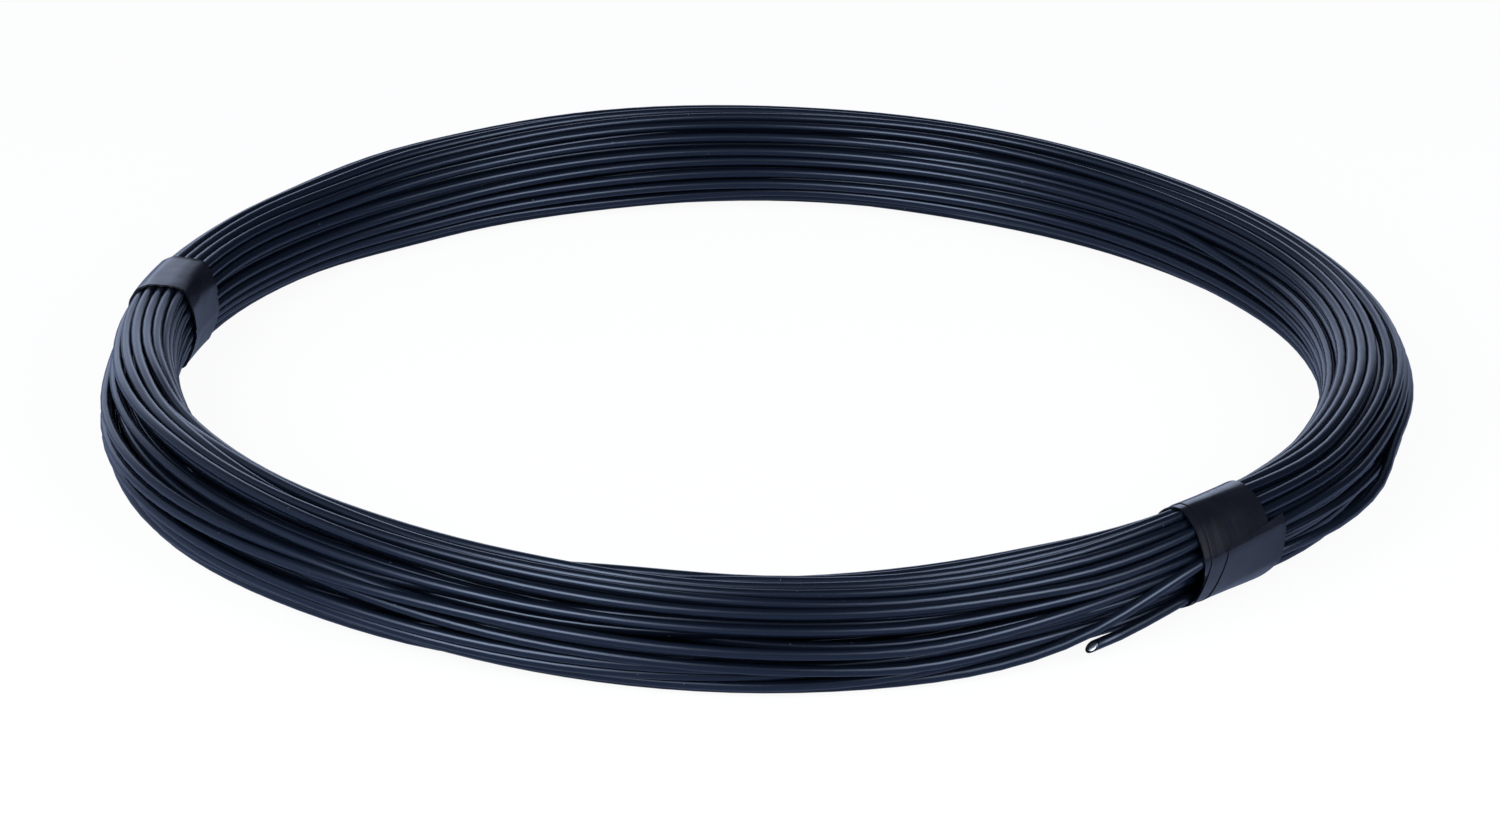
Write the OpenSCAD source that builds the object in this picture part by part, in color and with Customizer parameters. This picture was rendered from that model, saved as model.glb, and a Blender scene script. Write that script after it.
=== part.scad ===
// Coil of plastic-coated binding wire, lying flat, held by two wraps of tape.
// The origin is on the floor at the middle of the coil, +Z is up, and -Y is the side the viewer sees first.

/* [Wire] */
// Diameter of the wire over its plastic coat
wire_d = 2; // [1.4:0.1:3]
// Thickness of the plastic coat on the steel
coat_t = 0.3; // [0.15:0.05:0.5]

/* [Coil] */
// Diameter of the coil at the middle of the bundle of turns
coil_d = 236; // [180:2:320]
// Width of the bundle, from the bore to the outside
bundle_w = 19.5; // [17:0.5:26]
// Height of the bundle
bundle_h = 20.8; // [17:0.2:28]
// Rounding of the bundle's corners, outside the wires
bundle_r = 7.5; // [5:0.5:8]
// Turns of wire that show all round the bundle
outer_turns = 28; // [20:1:30]

/* [Tape] */
// Width of the tape
tape_w = 15; // [10:1:30]
// Thickness of one layer of tape
tape_t = 0.15; // [0.1:0.05:0.3]
// Layers in a wrap
tape_layers = 3; // [1:1:5]
// Sideways step of each layer of the front wrap over the one below
front_step = 2.8; // [0.2:0.2:4]
// Sideways step of each layer of the back wrap
back_step = 0.4; // [0.2:0.2:4]
// Place of the front wrap round the coil, in degrees
front_at = -45; // [-80:0.2:-10]
// Place of the back wrap round the coil, in degrees
back_at = 166.8; // [110:0.2:200]

/* [Cut end] */
// Length of wire that stands out of the front wrap
end_l = 25; // [10:1:50]
// Slant of the cut across the wire, in degrees from square
cut_slant = 50; // [0:5:60]
// Groove that the end lies in, counted outwards from the turn in the middle of the underside
end_groove = 3; // [2:1:4]

/* [Fit] */
// Slack between the tape and the wires that it holds
tape_slack = 0.04; // [0.02:0.01:0.1]
// Slack between the cut end and the two turns that it lies on
end_slack = 0.05; // [0.02:0.01:0.2]

/* [Hidden] */
$fn = 64;
tape_fn = 24;
wire_r = wire_d / 2;
core_d = wire_d - 2 * coat_t;
coil_r = coil_d / 2;

// The middles of the outer turns follow a rounded box, one wire radius inside the bundle's outline.
flat_w = bundle_w / 2 - bundle_r;
flat_h = bundle_h / 2 - bundle_r;
path_r = bundle_r - wire_r;
arc_l = path_r * PI / 2;
half_l = 2 * flat_w + 2 * flat_h + 2 * arc_l;

// The bundle's middle stands clear of the floor by the tape that passes under it.
wrap_t = tape_slack + tape_layers * tape_t;
bundle_z = bundle_h / 2 + wrap_t;

// Point on the path's outward half, s along it from the middle of the underside, as [outwards, up].
function half_path(s) =
    s < flat_w ? [s, -flat_h - path_r]
    : s < flat_w + arc_l ? corner(flat_w, -flat_h, (s - flat_w) / path_r * 180 / PI - 90)
    : s < flat_w + arc_l + 2 * flat_h ? [flat_w + path_r, s - flat_w - arc_l - flat_h]
    : s < flat_w + 2 * arc_l + 2 * flat_h
        ? corner(flat_w, flat_h, (s - flat_w - arc_l - 2 * flat_h) / path_r * 180 / PI)
    : [half_l - s, flat_h + path_r];
function corner(x, y, a) = [x + path_r * cos(a), y + path_r * sin(a)];

// Middle of one outer turn: the inward half of the path mirrors the outward half.
turn_pitch = 2 * half_l / outer_turns;
function turn_at(i) =
    let(s = i * turn_pitch)
    s <= half_l ? half_path(s) : let(p = half_path(2 * half_l - s)) [-p[0], p[1]];
turns = [for (i = [0 : outer_turns - 1]) turn_at(i)];

// The cut end lies against two neighbouring turns, a wire and its slack away from both.
groove_from = turns[end_groove];
groove_to = turns[end_groove + 1];
groove_half = norm(groove_to - groove_from) / 2;
groove_out = [groove_to[1] - groove_from[1], groove_from[0] - groove_to[0]] / (2 * groove_half);
end_lift = sqrt(pow(wire_d + end_slack, 2) - pow(groove_half, 2));
end_at = (groove_from + groove_to) / 2 + end_lift * groove_out;
end_x = coil_r + end_at[0];
end_z = bundle_z + end_at[1];

function arc_deg(l) = l / coil_r * 180 / PI;
front_from = front_at - arc_deg(tape_w + (tape_layers - 1) * front_step) / 2;

// Sweeps a section of the bundle round the coil from one angle through another.
module along_coil(from, sweep)
    translate([0, 0, bundle_z])
        rotate([0, 0, from])
            rotate_extrude(angle = sweep)
                translate([coil_r, 0])
                    children();

// Section of the bundle: the outer turns, and the turns within them as one filled middle.
module turns_section() {
    polygon(turns);
    for (p = turns)
        translate(p)
            circle(d = wire_d);
}

// Outline of tape pulled tight over the turns, and over the cut end where that lies under it.
module tape_outline(rise, over_end)
    hull() {
        for (p = over_end ? concat(turns, [end_at]) : turns)
            translate(p)
                circle(r = wire_r + rise, $fn = tape_fn);
    }

// One wrap: each layer covers the one below and starts a step beside it.
module tape_wrap(at, step, over_end) {
    sweep = arc_deg(tape_w);
    first = at - arc_deg(tape_w + (tape_layers - 1) * step) / 2;
    difference() {
        for (k = [1 : tape_layers])
            along_coil(first + arc_deg((k - 1) * step), sweep)
                tape_outline(tape_slack + k * tape_t, over_end);
        along_coil(at - sweep, 2 * sweep)
            tape_outline(tape_slack, over_end);
    }
}

// Places what is drawn along +Z at the edge of the front wrap, running straight off the coil.
module off_coil()
    translate([end_x, 0, end_z])
        rotate([90, 0, 0])
            children();

// Straight round bar of the cut end, with its tip cut on the slant so that the cut faces up.
module slant_bar(d) {
    reach = 4 * wire_d;
    difference() {
        cylinder(d = d, h = end_l + reach);
        translate([0, 0, end_l])
            rotate([-cut_slant, 0, 0])
                translate([-reach, -2 * reach, 0])
                    cube([2 * reach, 4 * reach, 3 * reach]);
    }
}

module wire_coil()
    color("#4a4f56")
        along_coil(0, 360)
            turns_section();

module wire_end()
    color("#4a4f56")
        rotate([0, 0, front_from])
            difference() {
                union() {
                    rotate_extrude(angle = arc_deg(tape_w) / 2)
                        translate([end_x, end_z])
                            circle(d = wire_d);
                    off_coil() slant_bar(wire_d);
                }
                off_coil() cylinder(d = core_d, h = end_l + 4 * wire_d);
            }

module core_end()
    color("#b9bcc0")
        rotate([0, 0, front_from])
            off_coil() slant_bar(core_d);

module tape_front()
    color("#2b2a31")
        tape_wrap(front_at, front_step, true);

module tape_back()
    color("#2b2a31")
        tape_wrap(back_at, back_step, false);

wire_coil();
wire_end();
core_end();
tape_front();
tape_back();
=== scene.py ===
import bpy
import numpy as np
from mathutils import Matrix, Vector


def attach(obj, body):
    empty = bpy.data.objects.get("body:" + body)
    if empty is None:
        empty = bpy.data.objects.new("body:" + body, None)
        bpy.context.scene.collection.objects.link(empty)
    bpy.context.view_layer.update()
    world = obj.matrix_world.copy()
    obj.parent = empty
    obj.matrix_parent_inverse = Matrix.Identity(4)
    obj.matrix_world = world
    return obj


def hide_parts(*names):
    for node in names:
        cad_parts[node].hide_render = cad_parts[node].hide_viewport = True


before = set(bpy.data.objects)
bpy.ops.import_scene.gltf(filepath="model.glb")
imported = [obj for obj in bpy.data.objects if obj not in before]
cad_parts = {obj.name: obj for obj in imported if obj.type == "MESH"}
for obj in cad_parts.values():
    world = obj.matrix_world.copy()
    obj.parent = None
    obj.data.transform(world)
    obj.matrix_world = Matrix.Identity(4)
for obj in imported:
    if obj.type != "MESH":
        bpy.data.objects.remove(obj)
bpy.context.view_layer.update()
mm = 0.001
rng = np.random.default_rng(11)
print("frame loaded:", ", ".join(sorted(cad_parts)))


# the view: a long lens, a little above the coil
viewpoint = {
    "elevation": 23.36,     # degrees above the floor
    "distance": 1068.3,     # mm from the middle of the coil
    "lens": 130.85,         # mm
    "sensor": 36.0,         # mm wide
    "roll": 0.40,           # degrees
    "aim": (-0.18, 0.84, 1.94),   # mm, the point that the lens looks at
}


def placeCamera(view):
    # back points from the aim to the lens, right is level, and both axes turn by the roll
    rise = np.radians(view["elevation"])
    place = view["distance"] * mm * Vector((0.0, -np.cos(rise), np.sin(rise)))
    back = (place - mm * Vector(view["aim"])).normalized()
    right = Vector((0.0, 0.0, 1.0)).cross(back).normalized()
    up = back.cross(right)
    turn = np.radians(view["roll"])
    across = np.cos(turn) * right + np.sin(turn) * up
    upright = np.cos(turn) * up - np.sin(turn) * right
    turned = Matrix((across, upright, back)).transposed().to_4x4()
    camera = bpy.data.objects.new("camera", bpy.data.cameras.new("camera"))
    camera.data.lens = view["lens"]
    camera.data.sensor_width = view["sensor"]
    camera.matrix_world = Matrix.Translation(place) @ turned
    bpy.context.scene.collection.objects.link(camera)
    bpy.context.scene.camera = camera


placeCamera(viewpoint)
print("camera placed")


def toLinear(hexText):
    # sRGB to linear: a channel up to 0.04045 is divided by 12.92, any other is ((c + 0.055) / 1.055) ** 2.4
    c = np.array([int(hexText[i:i + 2], 16) for i in (1, 3, 5)]) / 255
    low = c / 12.92
    high = ((c + 0.055) / 1.055) ** 2.4
    return (*np.where(c <= 0.04045, low, high).tolist(), 1.0)


def addNode(tree, kind, values=None, links=None, **settings):
    # one node: settings are its own properties, values its sockets, links the sockets that feed it
    node = tree.nodes.new(kind)
    for name, value in settings.items():
        setattr(node, name, value)
    for name, value in (values or {}).items():
        node.inputs[name].default_value = value
    for name, socket in (links or {}).items():
        tree.links.new(socket, node.inputs[name])
    return node


def newMaterial(name):
    material = bpy.data.materials.new(name)
    material.use_nodes = True
    material.node_tree.nodes.clear()
    return material, material.node_tree


def meshPiece(name, points, faces, material, flat=0, uv=None):
    # points in mm; the last flat faces keep hard edges, all others are shaded smooth
    mesh = bpy.data.meshes.new(name)
    mesh.from_pydata((points * mm).tolist(), [], faces)
    smooth = np.ones(len(faces), bool)
    smooth[len(faces) - flat:] = False
    mesh.polygons.foreach_set("use_smooth", smooth)
    mesh.set_sharp_from_angle(angle=np.radians(60))   # a sharper edge isn't smoothed over
    if uv is not None:
        layer = mesh.uv_layers.new(name="along")
        layer.data.foreach_set("uv", uv.astype(np.float32).ravel())
    mesh.materials.append(material)
    mesh.validate()
    piece = bpy.data.objects.new(name, mesh)
    bpy.context.scene.collection.objects.link(piece)
    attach(piece, "root")
    return piece


def gridQuads(rows, columns, closed):
    # corner numbers of the quads of a grid of points; closed joins the last column to the first
    across = np.arange(columns if closed else columns - 1)
    r, c = np.meshgrid(np.arange(rows - 1), across, indexing="ij")
    n = (c + 1) % columns
    quads = [r * columns + c, r * columns + n, (r + 1) * columns + n, (r + 1) * columns + c]
    return np.stack(quads, -1).reshape(-1, 4)


# the wire: one length, wound round and round, with its cut end last
wire = {
    "diameter": 2.0,        # over the coat, mm
    "coreDiameter": 1.4,    # the steel inside, mm
    "ringRadius": 118.0,    # middle of the bundle, mm
    "ringHeight": 10.4,     # mm
    "turns": 47.633,        # from under the back tape to the cut end
    "endAngle": -60.6,      # degrees round the coil, where the cut end stops
    "slices": 128,          # rings of the tube in a turn
    "sides": 15,
    "cutSlant": 50.0,       # degrees from a square cut
    "cutTurn": 25.0,        # degrees round the wire that the cut's face is turned outwards from straight up
    "boreDepth": 3.0,       # mm that the coat is hollow behind the cut
    "coreLength": 2.6,      # mm of steel in it
    "coreSides": 16,
    "wander": 0.9,          # mm that a turn strays between the tapes
    "sways": 4,             # waves that it strays in, each shorter and smaller
    "swaps": 10,            # turns that change places with a neighbour
    "rings": 5,             # rings of turns in the bundle
    "inmostRing": 0.2,      # steps between rings that the inmost one lies from the bundle's middle
    "crowding": 1.2,        # more than 1 puts more of the turns in the outer rings
    "lastAt": -12.0,        # degrees round the bundle, place of the last turn under the front tape
    "fullness": 2.4,        # 2 is a round bundle, more is squarer
    "rounds": 340,          # times that the turns settle
    "spacing": 1.005,       # wire diameters that neighbours push apart to
    "push": 0.5,            # share of an overlap that each of two turns gives way in a round
    "outlinePull": 0.15,    # share of what lies outside the bundle's outline that a round takes back
    "tapePull": 0.4,        # and of what lies outside the tapes' flat sides
    "spread": 0.003,        # mm a round that the turns work outwards
    "tapeSpread": 0.015,    # and under the tapes, which press them into a firm skin
    "tapeReach": 8.0,       # degrees from a tape's middle where that holds, gone at twice as many
    "letGoAt": 0.70,        # share of the rounds after which outline and tapes let go
    "letGoOver": 0.25,      # and share over which they do
    "laidReach": 14.0,      # "laidReach": 14.0, # degrees over which the wire passes into the listed last turn
    "heldReach": 20.0,      # degrees before that over which outline and tapes let go of it
    "smoothing": 3.2,       # slices that a push spreads over
    "laidSmoothing": 1.0,   # "laidSmoothing": 1.0, # slices that the listed route is smoothed over
}
tapeAngle = {"front": -45.0, "back": 166.8}
# flat sides of the wraps: the way that they face (out, up), how far that way they lie in mm,
# and their reach round the coil in degrees
tapeFaces = [
    ("front", (0.930, -0.368), 110.5, 14.0),
    ("front", (0.786, 0.618), 107.2, 14.0),
    ("front", (-0.510, 0.860), -42.4, 16.0),
    ("back", (0.0, 1.0), 17.4, 13.0),
    ("back", (-0.990, 0.143), -110.9, 13.0),
    ("back", (0.853, 0.520), 113.2, 13.0),
]

# the bundle round the coil, as (degrees, mm): its height, and how far its middle lies outwards and up
bundleHeight = [
    (-180, 17.0), (-165, 19.2), (-148, 20.9), (-120, 20.0), (-80, 20.0), (-62, 18.0), (-46, 18.8),
    (-30, 18.2), (-15, 18.6), (10, 18.2), (40, 19.0), (80, 20.5), (105, 21.4), (125, 20.4), (145, 18.0),
    (167, 17.2),
]
bundleOut = [
    (-180, 0.4), (-160, 0.9), (-120, -0.3), (-80, 0.3), (-47, -1.0), (-25, 0.4), (0, 1.3), (40, -0.1),
    (100, 0.1), (135, 0.0), (165, 0.5),
]
bundleUp = [
    (-180, 0.2), (-160, -0.4), (-120, 0.5), (-80, -0.3), (-62, 0.9), (-48, 1.25), (-25, 0.1), (0, 0.3),
    (40, -0.2), (100, 0.4), (135, 0.0), (165, 0.4),
]
# its width in heights, the degrees that its top leans outwards, and the degrees that it is turned
bundleWidth = [
    (167, 0.70), (-158, 0.90), (-120, 0.98), (-66, 1.0), (-46, 0.68), (-26, 0.87), (5, 0.97), (60, 0.97),
    (125, 0.96),
]
bundleLean = [(-66, 0), (-46, 21), (-26, 0), (180, 0)]
bundleTwist = [(163, 0), (-150, 34), (-60, 0), (60, 0)]

# the last turn takes a listed route, as (degrees along the wire, mm from the axis, mm above the floor)
lastTurn = [
    # under the front tape, then down across the bundle
    (336, 125.2, 14.0), (330, 125.0, 14.1), (322, 124.8, 14.4), (315, 124.7, 14.6), (310, 125.2, 14.0),
    (307.4, 125.3, 12.5), (305.5, 125.2, 11.3), (301.2, 125.2, 7.8), (299.4, 124.9, 6.4),
    (297.6, 124.5, 5.1), (295.8, 124.0, 4.2), (293.6, 123.6, 3.2),
    # round under the bundle
    (288, 123.1, 2.0), (280, 122.6, 1.5), (270, 122.0, 1.2), (260, 121.0, 1.1), (250, 119.6, 1.05),
    (238, 118.3, 1.05), (220, 117.7, 1.05), (200, 117.8, 1.1), (182, 118.2, 1.4), (173, 118.4, 1.8),
    (160, 118.7, 1.8), (150, 119.2, 1.4), (135, 120.4, 1.05), (120, 121.6, 1.05),
    # up at the back and off the bundle at the right
    (108, 122.8, 1.5), (95, 124.1, 2.9), (70, 125.8, 5.5), (45, 126.6, 8.3), (28, 126.9, 10.4),
    (14, 127.2, 11.9), (2, 127.6, 12.2), (-8, 127.5, 12.0), (-13, 127.1, 11.8), (-16, 126.6, 11.6),
    (-18.5, 126.5, 11.3), (-21, 128.1, 10.8), (-23, 128.8, 10.3), (-27, 128.7, 9.8), (-31, 128.2, 9.3),
    (-35, 127.6, 9.5),
    # under the front tape again, to the cut end
    (-39, 125.7, 9.6), (-42, 123.6, 8.5), (-46, 121.8, 6.8), (-50, 121.7, 5.7), (-53, 122.5, 4.9),
    (-56, 123.1, 4.1), (-58.5, 123.7, 3.4), (-60.6, 124.4, 2.8),
]


def aroundCoil(angle, knots):
    # value at an angle: half a cosine wave from each knot to the next, closing round the coil
    table = np.array(sorted(knots), float)
    start = table[:, 0]
    span = np.diff(np.append(start, start[0] + 360))
    turned = np.mod(angle - start[0], 360) + start[0]
    i = np.searchsorted(start, turned, side="right") - 1
    ease = (1 - np.cos(np.pi * (turned - start[i]) / span[i])) / 2
    return table[i, 1] * (1 - ease) + table[(i + 1) % len(table), 1] * ease


def bundleMiddle(angle):
    # the bundle's middle at each angle: the ring's radius and height, each with its own small offset
    return np.stack([wire["ringRadius"] + aroundCoil(angle, bundleOut),
                     wire["ringHeight"] + aroundCoil(angle, bundleUp)], 1)


def easeInOut(x):
    # 0 below 0, 1 above 1, and 3 x squared less 2 x cubed between
    x = np.clip(x, 0, 1)
    return x * x * (3 - 2 * x)


def ringSites(count, rings, inmost, crowding, lastAt):
    # places in a unit bundle, ring by ring from its middle outwards: the turns in a ring go with its length
    # to the power of the crowding, and they go round it to the place of the last one
    size = 1 - np.arange(rings)[::-1] / (rings - 1 + inmost)
    share = np.cumsum(size ** crowding)
    share = np.round(share / share[-1] * count).astype(int)
    number = np.diff(np.concatenate([[0], share]))
    ring = np.repeat(np.arange(rings), number)
    left = np.repeat(share, number) - 1 - np.arange(count)
    turn = np.radians(lastAt) + 2 * np.pi * left / number[ring]
    return size[ring, None] * np.stack([np.cos(turn), np.sin(turn)], 1)


def withSwaps(sites, swaps):
    # the same places, with some turns changed over, each with one of its four nearest
    sites = sites.copy()
    for first in rng.integers(len(sites), size=swaps):
        second = np.argsort(np.hypot(*(sites - sites[first]).T))[rng.integers(1, 5)]
        sites[[first, second]] = sites[[second, first]]
    return sites


def smoothAlong(track, width):
    # running mean along the wire with bell-shaped weights, the width in slices
    reach = int(3 * width)
    bell = np.exp(-0.5 * (np.arange(-reach, reach + 1) / width) ** 2)
    bell /= bell.sum()
    padded = np.pad(track, ((reach, reach), (0, 0)), mode="edge")
    return np.stack([np.convolve(padded[:, k], bell, "valid") for k in (0, 1)], 1)


def windWire(w):
    # The wire goes from its place under one tape to its place under the next, straying a little on the way.
    # Then the turns push each other apart, and the bundle's outline, the tapes and the floor hold them in.
    # In the last rounds only the push and the floor are left, so that the turns press less into each other.
    slices = w["slices"]
    samples = int(round(w["turns"] * slices))
    angle = w["endAngle"] + 360.0 * (samples - 1 - np.arange(samples)) / slices
    count = int(np.ceil(w["turns"])) + 2
    sites = ringSites(count, w["rings"], w["inmostRing"], w["crowding"], w["lastAt"])
    front = withSwaps(sites, w["swaps"])
    back = withSwaps(sites, w["swaps"])

    # lap counts the times past the front tape, and along goes from 0 to 1 between two tapes
    phase = (tapeAngle["front"] - angle) / 360
    phase -= np.floor(phase.min())
    lap = np.floor(phase).astype(int)
    part = phase - lap
    split = (tapeAngle["front"] - tapeAngle["back"] + 360) / 360
    atFront = part < split
    along = np.where(atFront, part / split, (part - split) / (1 - split))
    begin = np.where(atFront[:, None], front[lap], back[lap])
    end = np.where(atFront[:, None], back[lap], front[lap + 1])
    spot = begin + (end - begin) * easeInOut(along)[:, None]

    # from the unit bundle to mm, with the sways and the bundle's turn
    height = aroundCoil(angle, bundleHeight)
    half = np.stack([height * aroundCoil(angle, bundleWidth), height], 1) / 2 - w["diameter"] / 2
    spot = spot * half
    stretch = 2 * lap + ~atFront
    for wave in range(1, w["sways"] + 1):
        sway = rng.normal(0, w["wander"] / wave, (stretch.max() + 1, 2))
        spot += sway[stretch] * np.sin(np.pi * wave * along)[:, None]
    twist = np.radians(aroundCoil(angle, bundleTwist))
    spot = np.stack([spot[:, 0] * np.cos(twist) - spot[:, 1] * np.sin(twist),
                     spot[:, 0] * np.sin(twist) + spot[:, 1] * np.cos(twist)], 1)

    # the last turn takes its own route
    middle = bundleMiddle(angle)
    laid = np.array(sorted(lastTurn))
    route = np.stack([np.interp(angle, laid[:, 0], laid[:, k]) for k in (1, 2)], 1)
    route = smoothAlong(route, w["laidSmoothing"]) - middle
    free = 1 - easeInOut((laid[-1, 0] - angle) / w["laidReach"])[:, None]
    squeezed = easeInOut((angle - laid[-1, 0]) / w["heldReach"])[:, None]
    spot = route + (spot - route) * free

    # rows of the grid are turns and columns are slices; ghosts far away fill the first row
    rows = -(-samples // slices)
    ghosts = rows * slices - samples
    parked = 1000.0 + 10.0 * np.arange(ghosts)
    same = np.arange(rows)
    need = w["spacing"] * w["diameter"]
    lowest = w["diameter"] / 2 - middle[:, 1]
    fromTape = {side: np.abs(np.mod(angle - at + 180, 360) - 180) for side, at in tapeAngle.items()}
    pressed = easeInOut(2 - np.minimum(fromTape["front"], fromTape["back"]) / w["tapeReach"])
    spread = (w["spread"] + (w["tapeSpread"] - w["spread"]) * pressed)[:, None]
    lean = np.radians(aroundCoil(angle, bundleLean))
    across = np.stack([np.cos(lean), -np.sin(lean)], 1)
    upright = np.stack([np.sin(lean), np.cos(lean)], 1)
    for step in range(w["rounds"]):
        grid = np.concatenate([np.stack([parked, parked], 1), spot]).astype(np.float32)
        grid = grid.reshape(rows, slices, 2).transpose(1, 0, 2)
        away = grid[:, :, None, :] - grid[:, None, :, :]
        gap = np.sqrt((away ** 2).sum(-1)) + 1e-6
        gap[:, same, same] = 1e6
        push = (np.maximum(need / gap - 1, 0)[..., None] * away).sum(2)
        push = push.transpose(1, 0, 2).reshape(-1, 2)[ghosts:]
        leaned = np.stack([(spot * across).sum(1), (spot * upright).sum(1)], 1)
        reach = ((np.abs(leaned / half) ** w["fullness"]).sum(1)) ** (1 / w["fullness"])
        pull = -w["outlinePull"] * spot * (np.maximum(reach - 1, 0) / np.maximum(reach, 1e-6))[:, None]
        for side, facing, limit, far in tapeFaces:
            past = np.maximum((spot + middle) @ facing - limit, 0) * easeInOut(2 - 2 * fromTape[side] / far)
            pull -= w["tapePull"] * np.outer(past, facing)
        outward = spot / np.linalg.norm(spot, axis=1)[:, None]
        squeeze = 1 - easeInOut((step / w["rounds"] - w["letGoAt"]) / w["letGoOver"])
        held = squeeze * squeezed * (pull + spread * outward)
        move = smoothAlong(w["push"] * push + held, w["smoothing"])
        spot = spot + move * free
        spot[:, 1] = np.maximum(spot[:, 1], lowest)
    print("wound:", samples, "rings, nearest turns", round(float(gap.min()), 2), "mm apart")
    return angle, spot + middle


def alongCoil(angle, place):
    # point of the ring: distance and height (r, z) at an angle become (r cos, r sin, z)
    t = np.radians(angle)
    return np.stack([place[..., 0] * np.cos(t), place[..., 0] * np.sin(t), place[..., 1]], -1)


def carriedFrame(path):
    # along the path, level to the side, and the third at right angles
    ahead = np.gradient(path, axis=0)
    ahead /= np.linalg.norm(ahead, axis=1)[:, None]
    side = np.cross(ahead, (0.0, 0.0, 1.0))
    side /= np.linalg.norm(side, axis=1)[:, None]
    return ahead, side, np.cross(side, ahead)


def slantRings(centre, axes, radius, forward, slant, turn, sides):
    # circles round the centres; each point slides along the wire by its ring's forward less the slant times
    # its height, with the height measured the way that the cut is turned
    ahead, side, above = axes
    a = 2 * np.pi * (np.arange(sides) + 0.5) / sides - np.pi / 2
    ring = np.cos(a)[:, None] * side[:, None, :] + np.sin(a)[:, None] * above[:, None, :]
    slide = forward[:, None] - np.outer(slant * radius, np.sin(a - np.radians(turn)))
    return centre[:, None, :] + radius[:, None, None] * ring + slide[..., None] * ahead[:, None, :]


def coatMaterial():
    # Extruded PVC over steel wire, near black with a blue cast: a satin skin with faint die lines,
    # duller and brighter stretches along the wire, and a few specks of dust.
    material, tree = newMaterial("extrudedPvcCoat")
    uv = addNode(tree, "ShaderNodeUVMap", uv_map="along")
    spot = addNode(tree, "ShaderNodeTexCoord")
    # stretches of tone: about half a metre of wire each
    lengthways = addNode(tree, "ShaderNodeMapping", {"Scale": (2.2, 0.0, 0.0)},
                         {"Vector": uv.outputs["UV"]})
    tone = addNode(tree, "ShaderNodeTexNoise", {"Scale": 1.0, "Detail": 3.0},
                   {"Vector": lengthways.outputs["Vector"]})
    colour = addNode(tree, "ShaderNodeValToRGB", links={"Fac": tone.outputs["Fac"]})
    colour.color_ramp.elements[0].position = 0.35
    colour.color_ramp.elements[0].color = toLinear("#070c15")
    colour.color_ramp.elements[1].position = 0.65
    colour.color_ramp.elements[1].color = toLinear("#0d131e")
    # die lines: about 14 round the wire and 60 mm long
    drawn = addNode(tree, "ShaderNodeMapping", {"Scale": (1 / 0.06, 14.0, 1.0)},
                    {"Vector": uv.outputs["UV"]})
    lines = addNode(tree, "ShaderNodeTexNoise", {"Scale": 1.0, "Detail": 2.0},
                    {"Vector": drawn.outputs["Vector"]})
    # dust: specks about 0.3 mm wide, several mm apart
    dust = addNode(tree, "ShaderNodeTexNoise", {"Scale": 1 / (0.7 * mm), "Detail": 1.0},
                   {"Vector": spot.outputs["Object"]})
    specks = addNode(tree, "ShaderNodeMapRange", {"From Min": 0.79, "From Max": 0.84, "To Max": 0.5},
                     {"Value": dust.outputs["Fac"]})
    dusty = addNode(tree, "ShaderNodeMix", {"B": toLinear("#7d8591")},
                    {"Factor": specks.outputs["Result"], "A": colour.outputs["Color"]}, data_type="RGBA")
    rough = addNode(tree, "ShaderNodeMapRange",
                    {"From Min": 0.3, "From Max": 0.7, "To Min": 0.20, "To Max": 0.27},
                    {"Value": lines.outputs["Fac"]})
    bump = addNode(tree, "ShaderNodeBump", {"Strength": 0.08, "Distance": 0.03 * mm},
                   {"Height": lines.outputs["Fac"]})
    shader = addNode(tree, "ShaderNodeBsdfPrincipled", {"IOR": 1.53, "Specular Tint": toLinear("#c8d8f2")},
                     {"Base Color": dusty.outputs["Result"], "Roughness": rough.outputs["Result"],
                      "Normal": bump.outputs["Normal"]})
    addNode(tree, "ShaderNodeOutputMaterial", links={"Surface": shader.outputs["BSDF"]})
    return material


def coreMaterial():
    # Drawn steel, just cut: a grey shine, with the cutter's fine lines across it.
    material, tree = newMaterial("cutSteel")
    spot = addNode(tree, "ShaderNodeTexCoord")
    turned = addNode(tree, "ShaderNodeMapping", {"Rotation": (0.4, 0.2, 0.9), "Scale": (1.0, 6.0, 1.0)},
                     {"Vector": spot.outputs["Object"]})
    # lines about 0.4 mm long and a sixth as wide
    lines = addNode(tree, "ShaderNodeTexNoise", {"Scale": 1 / (0.4 * mm), "Detail": 4.0},
                    {"Vector": turned.outputs["Vector"]})
    colour = addNode(tree, "ShaderNodeValToRGB", links={"Fac": lines.outputs["Fac"]})
    colour.color_ramp.elements[0].color = toLinear("#6f767d")
    colour.color_ramp.elements[1].color = toLinear("#bcc2c8")
    bump = addNode(tree, "ShaderNodeBump", {"Strength": 0.3, "Distance": 0.03 * mm},
                   {"Height": lines.outputs["Fac"]})
    shader = addNode(tree, "ShaderNodeBsdfPrincipled", {"Metallic": 1.0, "Roughness": 0.28},
                     {"Base Color": colour.outputs["Color"], "Normal": bump.outputs["Normal"]})
    addNode(tree, "ShaderNodeOutputMaterial", links={"Surface": shader.outputs["BSDF"]})
    return material


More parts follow.
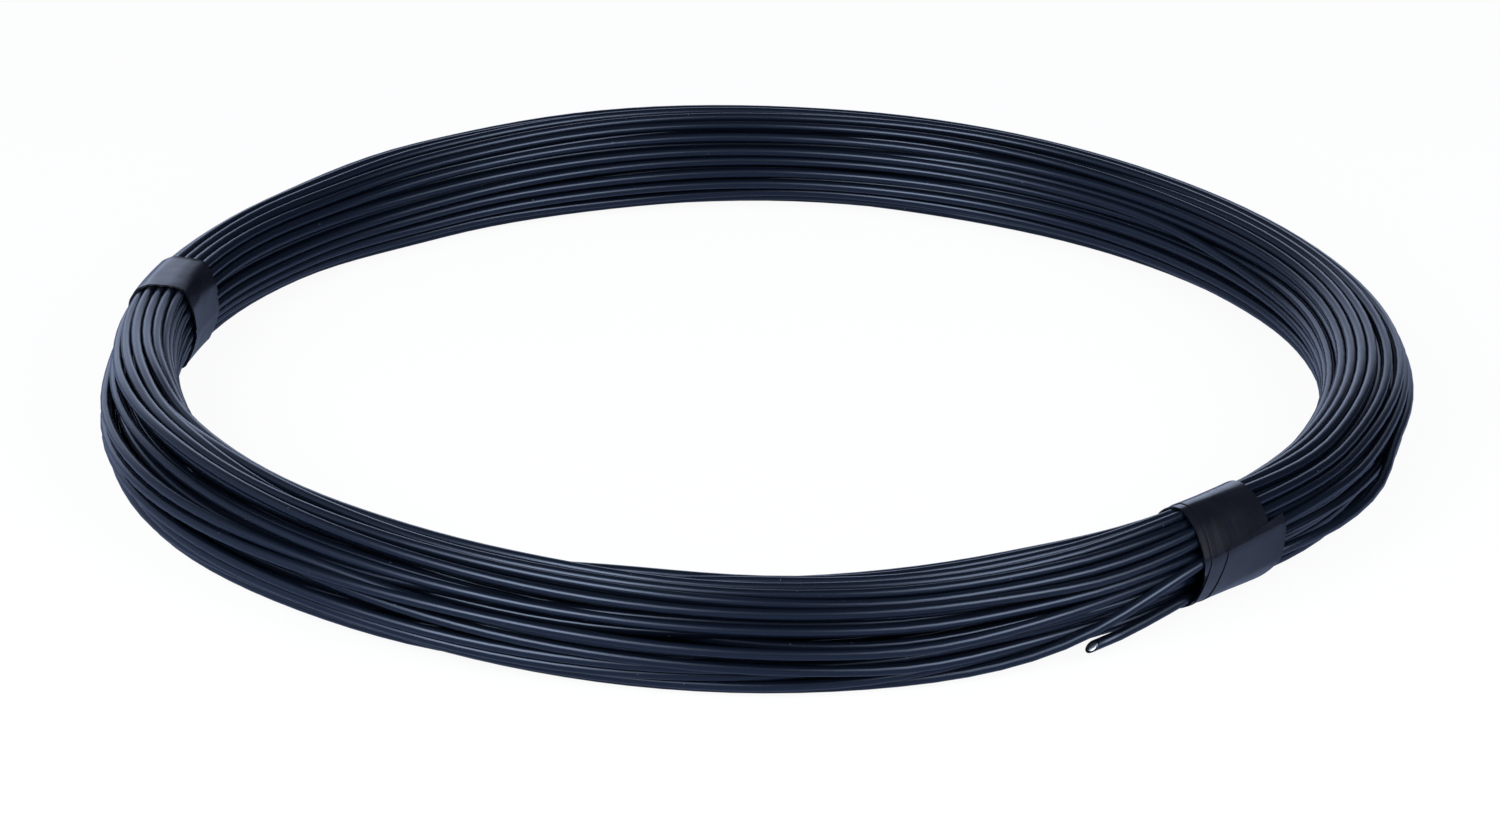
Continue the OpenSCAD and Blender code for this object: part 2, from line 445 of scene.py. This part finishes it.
def buildWire(w, angle, place):
    # The tube's rings follow the wire. At the cut end they close in to the coat's bore, and a short rod of
    # steel sits in it.
    path = alongCoil(angle, place)
    axes = carriedFrame(path)
    tip = len(path) - 1
    order = np.append(np.arange(len(path)), [tip, tip])
    outer, bore = w["diameter"] / 2, w["coreDiameter"] / 2
    cut = np.tan(np.radians(w["cutSlant"]))
    radius = np.full(len(order), outer)
    radius[-2:] = bore
    forward = np.zeros(len(order))
    forward[-1] = -w["boreDepth"]
    slant = np.zeros(len(order))
    slant[-3:-1] = cut
    rings = slantRings(path[order], [axis[order] for axis in axes], radius, forward, slant, w["cutTurn"],
                       w["sides"])
    quads = gridQuads(len(order), w["sides"], True)
    last = (len(order) - 1) * w["sides"]
    caps = [list(range(w["sides"]))[::-1], list(range(last, last + w["sides"]))]
    faces = quads.tolist() + caps

    # map of the coat: metres along the wire, and the share of the way round it
    run = np.concatenate([[0], np.cumsum(np.linalg.norm(np.diff(path, axis=0), axis=1))]) * mm
    run = run[order]
    row = quads // w["sides"]
    turn = (quads % w["sides"]) / w["sides"]
    turn = np.where((turn == 0) & (turn[:, :1] > 0.5), 1.0, turn)
    uv = np.concatenate([np.stack([run[row], turn], -1).reshape(-1, 2), np.zeros((2 * w["sides"], 2))])
    piece = meshPiece("coiledWire", rings.reshape(-1, 3), faces, coatMaterial(),
                      flat=2 * w["sides"] + 2, uv=uv)
    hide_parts("wire_coil", "wire_end")

    # the steel: a short rod in the bore, cut on the same slant, its face a little crowned
    rodForward = np.array([-w["coreLength"], 0.0, 0.04, 0.08])
    rodRadius = np.array([0.99, 0.99, 0.8, 0.35]) * bore
    rodSlant = np.array([0.0, 1.0, 1.0, 1.0]) * cut
    ends = np.full(len(rodRadius), tip)
    rod = slantRings(path[ends], [axis[ends] for axis in axes], rodRadius, rodForward, rodSlant,
                     w["cutTurn"], w["coreSides"])
    rodLast = (len(rodRadius) - 1) * w["coreSides"]
    rodFaces = gridQuads(len(rodRadius), w["coreSides"], True).tolist()
    rodFaces += [list(range(w["coreSides"]))[::-1], list(range(rodLast, rodLast + w["coreSides"]))]
    core = meshPiece("steelCore", rod.reshape(-1, 3), rodFaces, coreMaterial(),
                     flat=2 * w["coreSides"] + 2)
    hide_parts("core_end")
    print("wire:", len(faces), "faces,", round(float(run[-1]), 2), "m long")


wireAngle, wirePlace = windWire(wire)
buildWire(wire, wireAngle, wirePlace)


# the tape: each wrap is one strip, wound round the bundle several times
tape = {
    "width": 15.0,          # mm
    "thickness": 0.13,      # mm
    "pitch": 0.15,          # mm from one layer to the next
    "clearance": 0.06,      # mm between the wire and the first layer
    "roundingRise": 0.01,   # mm more for each degree of rounding, so that no turn comes through
    "girthRadius": 9.0,     # mm, about the bundle's radius under the tape
    "endReach": 0.4,        # layers over which the end comes to its slope
    "cornerReach": 0.06,    # layers that the lifted corner is long
    "cornerFrom": 0.55,     # share of the width where it begins
    "skewFrom": -0.35,      # radians round the bundle, where a skew begins
    "pointsAcross": 25,
    "pointsRound": 96,      # in a layer
    "sections": 33,         # places across the tape where the bundle is measured
    "sightStep": 2.0,       # degrees from one measured direction to the next
}
frontTape = {
    **tape,
    "name": "tapeFront",
    "replaces": "tape_front",
    "from": -50.0,          # degrees, its first edge
    "start": -332.0,        # degrees round the bundle, 0 is outwards and 90 is up
    "layers": 3.0,
    # (layers, mm sideways)
    "drift": [(0.0, 0.0), (1.2, 0.0), (1.95, 1.4), (2.25, 2.0), (2.95, 5.3), (3.0, 5.4)],
    "lift": 0.25,           # mm that the free end's corner stands up
    "slope": 0.034,         # layers by which the end is cut at a slope
    "skew": 2.2,            # mm that its inner side lies further round the coil
    "rounding": 9.0,        # degrees over which the stiff film rounds off the turns under it
}
backTape = {
    **tape,
    "name": "tapeBack",
    "replaces": "tape_back",
    "from": 163.1,
    "start": -150.0,
    "layers": 2.9,
    "drift": [(0.0, 0.3), (1.0, 0.0), (2.0, 0.4), (2.9, 0.1)],
    "lift": 0.0,
    "slope": 0.06,
    "skew": 0.0,
    "rounding": 0.0,
}


def bundleHull(angle, directions, rounding):
    # distance from the bundle's middle to a band stretched round all turns, in each direction at each angle:
    # the band's tangent lines are the furthest turns' edges, averaged over the rounding to both sides, and
    # the nearest tangent line in a direction bounds it
    whole = np.arange(np.floor(wireAngle.min() / 360) - 1, np.ceil(wireAngle.max() / 360) + 2)
    at = np.mod(angle, 360)[:, None] + 360 * whole[None, :]
    inside = (at > wireAngle.min()) & (at < wireAngle.max())
    turns = np.stack([np.interp(at, wireAngle[::-1], wirePlace[::-1, k]) for k in (0, 1)], -1)
    middle = bundleMiddle(angle)
    offset = turns - middle[:, None, :]
    far = 1e3           # mm, beyond every turn
    tangentStep = 3.0   # degrees
    leastCosine = 0.2   # a tangent line that is more slanted than this doesn't bound a direction
    facing = np.radians(np.arange(0, 360, tangentStep))
    normal = np.stack([np.cos(facing), np.sin(facing)])
    support = np.where(inside[..., None], offset @ normal, -far).max(1) + wire["diameter"] / 2
    support = np.maximum(support, np.maximum(np.roll(support, 1, 0), np.roll(support, -1, 0)))
    steps = int(rounding / tangentStep)
    support = np.mean([np.roll(support, step, 1) for step in range(-steps, steps + 1)], 0)
    across = np.cos(directions[:, None] - facing[None, :])
    bound = support[:, None, :] / np.maximum(across, 1e-3)[None]
    return np.where(across[None] > leastCosine, bound, far).min(-1), middle


def tapeMaterial():
    # Soft PVC tape, stretched on: a glossy violet-black film with fine stretch lines and faint puckers.
    material, tree = newMaterial("softPvcTape")
    uv = addNode(tree, "ShaderNodeUVMap", uv_map="along")
    spot = addNode(tree, "ShaderNodeTexCoord")
    # stretch lines run round the bundle, about 0.8 mm apart
    drawn = addNode(tree, "ShaderNodeMapping", {"Scale": (12.0, 1 / (0.8 * mm), 1.0)},
                    {"Vector": uv.outputs["UV"]})
    lines = addNode(tree, "ShaderNodeTexNoise", {"Scale": 1.0, "Detail": 3.0},
                    {"Vector": drawn.outputs["Vector"]})
    # puckers about 5 mm wide
    puckers = addNode(tree, "ShaderNodeTexNoise", {"Scale": 1 / (5.0 * mm), "Detail": 2.0},
                      {"Vector": spot.outputs["Object"]})
    colour = addNode(tree, "ShaderNodeValToRGB", links={"Fac": puckers.outputs["Fac"]})
    colour.color_ramp.elements[0].position = 0.3
    colour.color_ramp.elements[0].color = toLinear("#0b0c13")
    colour.color_ramp.elements[1].position = 0.7
    colour.color_ramp.elements[1].color = toLinear("#11121b")
    rough = addNode(tree, "ShaderNodeMapRange",
                    {"From Min": 0.3, "From Max": 0.7, "To Min": 0.16, "To Max": 0.26},
                    {"Value": lines.outputs["Fac"]})
    soft = addNode(tree, "ShaderNodeBump", {"Strength": 0.12, "Distance": 0.3 * mm},
                   {"Height": puckers.outputs["Fac"]})
    bump = addNode(tree, "ShaderNodeBump", {"Strength": 0.12, "Distance": 0.05 * mm},
                   {"Height": lines.outputs["Fac"], "Normal": soft.outputs["Normal"]})
    shader = addNode(tree, "ShaderNodeBsdfPrincipled", {"IOR": 1.53},
                     {"Base Color": colour.outputs["Color"], "Roughness": rough.outputs["Result"],
                      "Normal": bump.outputs["Normal"]})
    addNode(tree, "ShaderNodeOutputMaterial", links={"Surface": shader.outputs["BSDF"]})
    return material


def buildTape(t, material):
    # Strip on a grid: one way is across its width, the other is the number of layers wound.
    # Its distance from the middle is the hull's plus a little more with each layer, and it drifts sideways.
    across = np.linspace(0, 1, t["pointsAcross"])
    wound = np.linspace(0, t["layers"], int(t["layers"] * t["pointsRound"]) + 1)
    wide, layer = np.meshgrid(across, wound, indexing="ij")
    atEnd = easeInOut((layer - t["layers"] + t["endReach"]) / t["endReach"])
    layer = layer + t["slope"] * (wide - 0.5) * atEnd
    around = np.radians(t["start"]) + 2 * np.pi * layer
    drift = np.interp(layer, *np.array(t["drift"]).T) + t["skew"] * (1 - np.cos(around - t["skewFrom"])) / 2
    degrees = np.degrees(1 / wire["ringRadius"])
    angle = t["from"] + (wide * t["width"] + drift) * degrees
    turned = np.mod(around, 2 * np.pi)

    # the hull between its four nearest measured distances
    hullAngle = np.linspace(angle.min(), angle.max(), t["sections"])
    directions = np.radians(np.arange(0, 360, t["sightStep"]))
    hull, middle = bundleHull(hullAngle, directions, t["rounding"])
    row = (angle - hullAngle[0]) / (hullAngle[1] - hullAngle[0])
    column = turned / (directions[1] - directions[0])
    r0 = np.clip(row.astype(int), 0, t["sections"] - 2)
    c0 = column.astype(int) % len(directions)
    c1 = (c0 + 1) % len(directions)
    fr, fc = row - r0, column - column.astype(int)
    reach = ((hull[r0, c0] * (1 - fr) + hull[r0 + 1, c0] * fr) * (1 - fc)
             + (hull[r0, c1] * (1 - fr) + hull[r0 + 1, c1] * fr) * fc)
    centre = middle[r0] * (1 - fr[..., None]) + middle[r0 + 1] * fr[..., None]

    corner = (easeInOut((layer - t["layers"] + t["cornerReach"]) / t["cornerReach"])
              * easeInOut((wide - t["cornerFrom"]) / (1 - t["cornerFrom"])))
    rise = t["clearance"] + t["roundingRise"] * t["rounding"] + t["pitch"] * layer + t["lift"] * corner
    skins = []
    for depth in (t["thickness"], 0.0):
        out = reach + rise + depth
        skins.append(alongCoil(angle, centre + np.stack([out * np.cos(around), out * np.sin(around)], -1)))

    # both skins, and a rim that joins them
    rows, columns = wide.shape
    outer = gridQuads(rows, columns, False)
    total = rows * columns
    rim = np.concatenate([np.arange(columns), np.arange(1, rows) * columns + columns - 1,
                          (rows - 1) * columns + np.arange(columns - 2, -1, -1),
                          np.arange(rows - 2, 0, -1) * columns])
    nextRim = np.roll(rim, -1)
    edge = np.stack([rim, rim + total, nextRim + total, nextRim], 1)
    faces = np.concatenate([outer[:, ::-1], outer + total, edge])
    points = np.concatenate([skin.reshape(-1, 3) for skin in skins])
    lengthways = layer * 2 * np.pi * t["girthRadius"] * mm
    flatMap = np.stack([lengthways, wide * t["width"] * mm], -1).reshape(-1, 2)
    uv = np.concatenate([flatMap, flatMap])[faces]
    piece = meshPiece(t["name"], points, faces.tolist(), material, flat=len(edge),
                      uv=uv.reshape(-1, 2))
    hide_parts(t["replaces"])
    print(t["name"], "wound:", len(faces), "faces")


tapeFilm = tapeMaterial()
buildTape(frontTape, tapeFilm)
buildTape(backTape, tapeFilm)


# the studio: a white floor, a pale backdrop low at the back, a dim room, and lamps
studio = {
    "floorSize": 8.0,       # m
    "glow": 0.93,           # share of the floor's white that lamps and shadows don't change
    "mirrorGlow": 0.20,     # the same, where the floor shows in the wire and the tape
    "backdrop": 1.65,       # brightness of the backdrop
    "backdropTurn": 9.0,    # degrees that its middle lies to the left of straight behind
    "front": 0.38,          # brightness of the room on the viewer's side
    "overhead": 0.08,       # and overhead towards the back
    "right": 0.5,           # share of both that is left on the right
    "window": 0.45,         # brightness of a wide soft light at the left
    "windowAt": (-0.95, 0.10, 0.30),   # the way to it
    "lamps": [              # name, place in m, width and height in m, W
        ("leftBox", (-0.53, -0.67, 0.52), (0.90, 0.70), 5.2),
        ("leftHeart", (-0.52, -0.66, 0.51), (0.45, 0.48), 4.7),
        ("rightBox", (0.64, -0.57, 0.52), (0.90, 0.70), 5.0),
        ("rightHeart", (0.63, -0.56, 0.51), (0.45, 0.48), 3.0),
    ],
}


def studioFloor(s):
    # one square of white paper: what the camera sees is mostly its own white, and what the wire and the tape
    # mirror is a bluer, dimmer one: painted shade of the floor in their reflections
    half = s["floorSize"] / 2
    corners = [(-half, -half, 0), (half, -half, 0), (half, half, 0), (-half, half, 0)]
    mesh = bpy.data.meshes.new("floor")
    mesh.from_pydata(corners, [], [(0, 1, 2, 3)])
    material, tree = newMaterial("whitePaper")
    rays = addNode(tree, "ShaderNodeLightPath")
    mirrored = addNode(tree, "ShaderNodeMath", operation="MAXIMUM",
                       links={0: rays.outputs["Is Glossy Ray"], 1: rays.outputs["Is Transmission Ray"]})
    # glossy and transmission rays see the paper in a painted shade, bluer and dimmer than white
    white = addNode(tree, "ShaderNodeMix", {"A": toLinear("#ffffff"), "B": toLinear("#98a6c4")},
                    {"Factor": mirrored.outputs["Value"]}, data_type="RGBA")
    paper = addNode(tree, "ShaderNodeBsdfDiffuse", links={"Color": white.outputs["Result"]})
    glow = addNode(tree, "ShaderNodeEmission", {"Strength": 1.0}, {"Color": white.outputs["Result"]})
    dim = addNode(tree, "ShaderNodeMath", {1: s["mirrorGlow"]}, {0: mirrored.outputs["Value"]},
                  operation="MULTIPLY")
    share = addNode(tree, "ShaderNodeMath", {1: s["glow"]},
                    {0: rays.outputs["Is Camera Ray"], 2: dim.outputs["Value"]}, operation="MULTIPLY_ADD")
    mixed = addNode(tree, "ShaderNodeMixShader",
                    links={0: share.outputs["Value"], 1: paper.outputs["BSDF"], 2: glow.outputs["Emission"]})
    addNode(tree, "ShaderNodeOutputMaterial", links={"Surface": mixed.outputs["Shader"]})
    mesh.materials.append(material)
    floor = bpy.data.objects.new("floor", mesh)
    bpy.context.scene.collection.objects.link(floor)


def studioSurround(s):
    # brightness of the sky in each direction: the room, dimmer at the right, plus the window, plus the
    # backdrop times how low it is
    world = bpy.data.worlds.new("studio")
    world.use_nodes = True
    tree = world.node_tree
    tree.nodes.clear()
    spot = addNode(tree, "ShaderNodeTexCoord")
    parts = addNode(tree, "ShaderNodeSeparateXYZ", links={"Vector": spot.outputs["Generated"]})
    room = addNode(tree, "ShaderNodeMapRange",
                   {"From Min": -0.6, "From Max": 0.5, "To Min": s["front"], "To Max": s["overhead"]},
                   {"Value": parts.outputs["Y"]}, interpolation_type="SMOOTHSTEP")
    share = addNode(tree, "ShaderNodeMapRange", {"To Min": 1.0, "To Max": s["right"]},
                    {"Value": parts.outputs["X"]})
    towards = addNode(tree, "ShaderNodeVectorMath", {1: Vector(s["windowAt"]).normalized()},
                      {0: spot.outputs["Generated"]}, operation="DOT_PRODUCT")
    window = addNode(tree, "ShaderNodeMapRange", {"From Min": 0.60, "From Max": 1.0, "To Max": s["window"]},
                     {"Value": towards.outputs["Value"]}, interpolation_type="SMOOTHSTEP")
    around = addNode(tree, "ShaderNodeMath", operation="MULTIPLY_ADD",
                     links={0: room.outputs["Result"], 1: share.outputs["Result"],
                            2: window.outputs["Result"]})
    turn = np.radians(s["backdropTurn"])
    backwards = addNode(tree, "ShaderNodeVectorMath", {1: (-np.sin(turn), np.cos(turn), 0.0)},
                        {0: spot.outputs["Generated"]}, operation="DOT_PRODUCT")
    behind = addNode(tree, "ShaderNodeMapRange",
                     {"From Min": 0.70, "From Max": 0.95, "To Max": s["backdrop"]},
                     {"Value": backwards.outputs["Value"]}, interpolation_type="SMOOTHSTEP")
    low = addNode(tree, "ShaderNodeMapRange",
                  {"From Min": 0.34, "From Max": 0.56, "To Min": 1.0, "To Max": 0.0},
                  {"Value": parts.outputs["Z"]}, interpolation_type="SMOOTHSTEP")
    level = addNode(tree, "ShaderNodeMath", operation="MULTIPLY_ADD",
                    links={0: behind.outputs["Result"], 1: low.outputs["Result"],
                           2: around.outputs["Value"]})
    sky = addNode(tree, "ShaderNodeBackground", {"Color": toLinear("#ccdaf8")},
                  {"Strength": level.outputs["Value"]})
    addNode(tree, "ShaderNodeOutputWorld", links={"Surface": sky.outputs["Background"]})
    bpy.context.scene.world = world


def softLamp(name, place, size, watts):
    # a flat lamp that faces the middle of the coil
    lamp = bpy.data.lights.new(name, "AREA")
    lamp.shape = "RECTANGLE"
    lamp.size, lamp.size_y = size
    lamp.energy = watts
    lamp.color = toLinear("#f4f8ff")[:3]
    holder = bpy.data.objects.new(name, lamp)
    holder.location = place
    holder.rotation_euler = (-Vector(place)).to_track_quat("-Z", "Y").to_euler()
    bpy.context.scene.collection.objects.link(holder)


studioFloor(studio)
studioSurround(studio)
for lampSettings in studio["lamps"]:
    softLamp(*lampSettings)
bpy.context.scene.view_settings.view_transform = "Standard"
print("studio lit")
